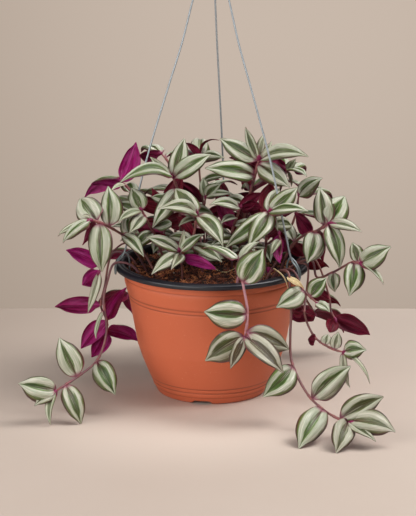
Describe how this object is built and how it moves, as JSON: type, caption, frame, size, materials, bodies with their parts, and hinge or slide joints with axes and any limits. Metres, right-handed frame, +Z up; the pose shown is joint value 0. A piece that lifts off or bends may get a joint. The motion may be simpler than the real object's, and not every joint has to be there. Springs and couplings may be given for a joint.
{
  "type": "potted tradescantia",
  "caption": "Striped purple-and-green wandering plant spilling over a round plastic pot with a black rolled rim, wire hanger and top hook.",
  "frame": {"origin": "middle of the pot's flat underside, on the surface it stands on", "axes": "+Z up through the pot and the hanger, -Y towards the long front trailing shoot, +X to the right of it"},
  "size_m": [0.37, 0.4, 0.5289],
  "materials": {
    "terracotta_plastic": "matte terracotta-coloured thermoformed plastic",
    "black_plastic": "black plastic of the pot's inside and rolled rim, slightly glossy",
    "potting_soil": null,
    "perlite": "white expanded perlite grains",
    "galvanised_steel": "dull galvanised steel wire",
    "leaf": null,
    "stem": null,
    "dry_bract": "dry papery leaf remains"
  },
  "bodies": {
    "root": {"back_left_trail": "leaf", "back_low_left": "leaf", "back_right": "leaf", "back_right_trail": "leaf", "back_trail": "leaf", "back_trail_leaf_1": "leaf", "back_trail_leaf_2": "leaf", "back_trail_leaf_3": "leaf", "back_trail_leaf_4": "leaf", "back_trail_leaf_5": "leaf", "back_upper_left": "leaf", "back_upper_mid": "leaf", "back_upright": "leaf", "centre_right": "leaf", "centre_rosette": "leaf", "crimp_sleeve": "galvanised_steel", "far_right": "leaf", "front_trail": "leaf", "front_trail_leaf_1": "leaf", "front_trail_leaf_2": "leaf", "front_trail_leaf_3": "leaf", "front_trail_leaf_4": "leaf", "front_trail_leaf_5": "leaf", "hanger_hook": "galvanised_steel", "inner_back_left": "leaf", "inner_back_mid": "leaf", "inner_back_right": "leaf", "inner_right": "leaf", "left_back_high": "leaf", "left_hang": "leaf", "left_purple": "leaf", "left_shoulder": "leaf", "left_trail": "leaf", "left_trail_leaf_1": "leaf", "left_trail_leaf_2": "leaf", "left_trail_leaf_3": "leaf", "left_trail_leaf_4": "leaf", "low_rosette": "leaf", "mid_left": "leaf", "middle": "leaf", "middle_back": "leaf", "pot": "terracotta_plastic", "right_back_shoulder": "leaf", "right_hang_a": "leaf", "right_hang_b": "leaf", "right_hang_c": "leaf", "right_shoulder": "leaf", "right_top": "leaf", "right_trail": "leaf", "right_trail_leaf_1": "leaf", "right_trail_leaf_2": "leaf", "right_trail_leaf_3": "leaf", "soil": "potting_soil", "upper_left": "leaf", "wire_back": "galvanised_steel", "wire_left": "galvanised_steel", "wire_right": "galvanised_steel"}
  },
  "joints": []
}
